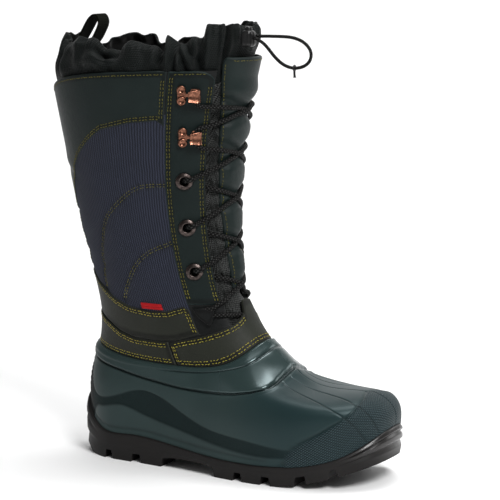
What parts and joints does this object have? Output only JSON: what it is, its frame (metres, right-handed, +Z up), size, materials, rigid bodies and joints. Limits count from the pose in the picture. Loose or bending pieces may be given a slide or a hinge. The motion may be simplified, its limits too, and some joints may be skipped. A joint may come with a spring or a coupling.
{
  "type": "hunting boot",
  "caption": "Tall insulated hunting boot: lugged rubber sole and moulded galosh, hollow laced leather shaft with padded tongue, gathered snow cuff with drawcord.",
  "frame": {"origin": "on the floor under the heel, on the flat tread pad at heel_rest", "axes": "+X to the toe, +Y to the inner side of the foot, +Z up"},
  "size_m": [0.3524, 0.1256, 0.4183],
  "materials": {
    "sole_rubber": "matte black moulded rubber",
    "galosh_rubber": "satin dark green moulded rubber",
    "insole_felt": "felt",
    "navy_cloth": "ribbed woven cloth",
    "green_leather": "smooth dark green leather",
    "olive_leather": "oiled dark olive leather",
    "black_leather": "grained black leather",
    "black_nylon": "coated nylon",
    "olive_webbing": "woven webbing",
    "aged_copper": "aged copper plating",
    "black_cord": "braided cord",
    "black_plastic": "moulded plastic",
    "red_label": "plain woven label"
  },
  "bodies": {
    "root": {"outsole": "sole_rubber", "galosh": "galosh_rubber", "insole": "insole_felt", "shaft": "navy_cloth", "tongue": "black_nylon", "tongue_panel": "green_leather", "gaiter": "black_nylon", "quarter": "olive_leather", "counter_band": "olive_leather", "vamp_band": "olive_leather", "cuff_panel": "green_leather", "back_stay": "green_leather", "eyestay_outer": "green_leather", "eyestay_inner": "green_leather", "lace_tab_outer": "black_leather", "lace_tab_inner": "black_leather", "side_tag": "red_label", "eyelet_outer_1": "aged_copper", "eyelet_outer_2": "aged_copper", "eyelet_outer_3": "aged_copper", "eyelet_inner_1": "aged_copper", "eyelet_inner_2": "aged_copper", "eyelet_inner_3": "aged_copper", "hook_outer_1": "aged_copper", "hook_outer_2": "aged_copper", "hook_inner_1": "aged_copper", "hook_inner_2": "aged_copper", "lace_cross_1": "black_cord", "lace_cross_2": "black_cord", "lace_cross_3": "black_cord", "lace_cross_4": "black_cord", "lace_cross_5": "black_cord", "cord_lock": "black_plastic", "drawcord": "black_cord", "cord_tie": "black_plastic", "pull_loop": "olive_webbing"}
  },
  "joints": []
}
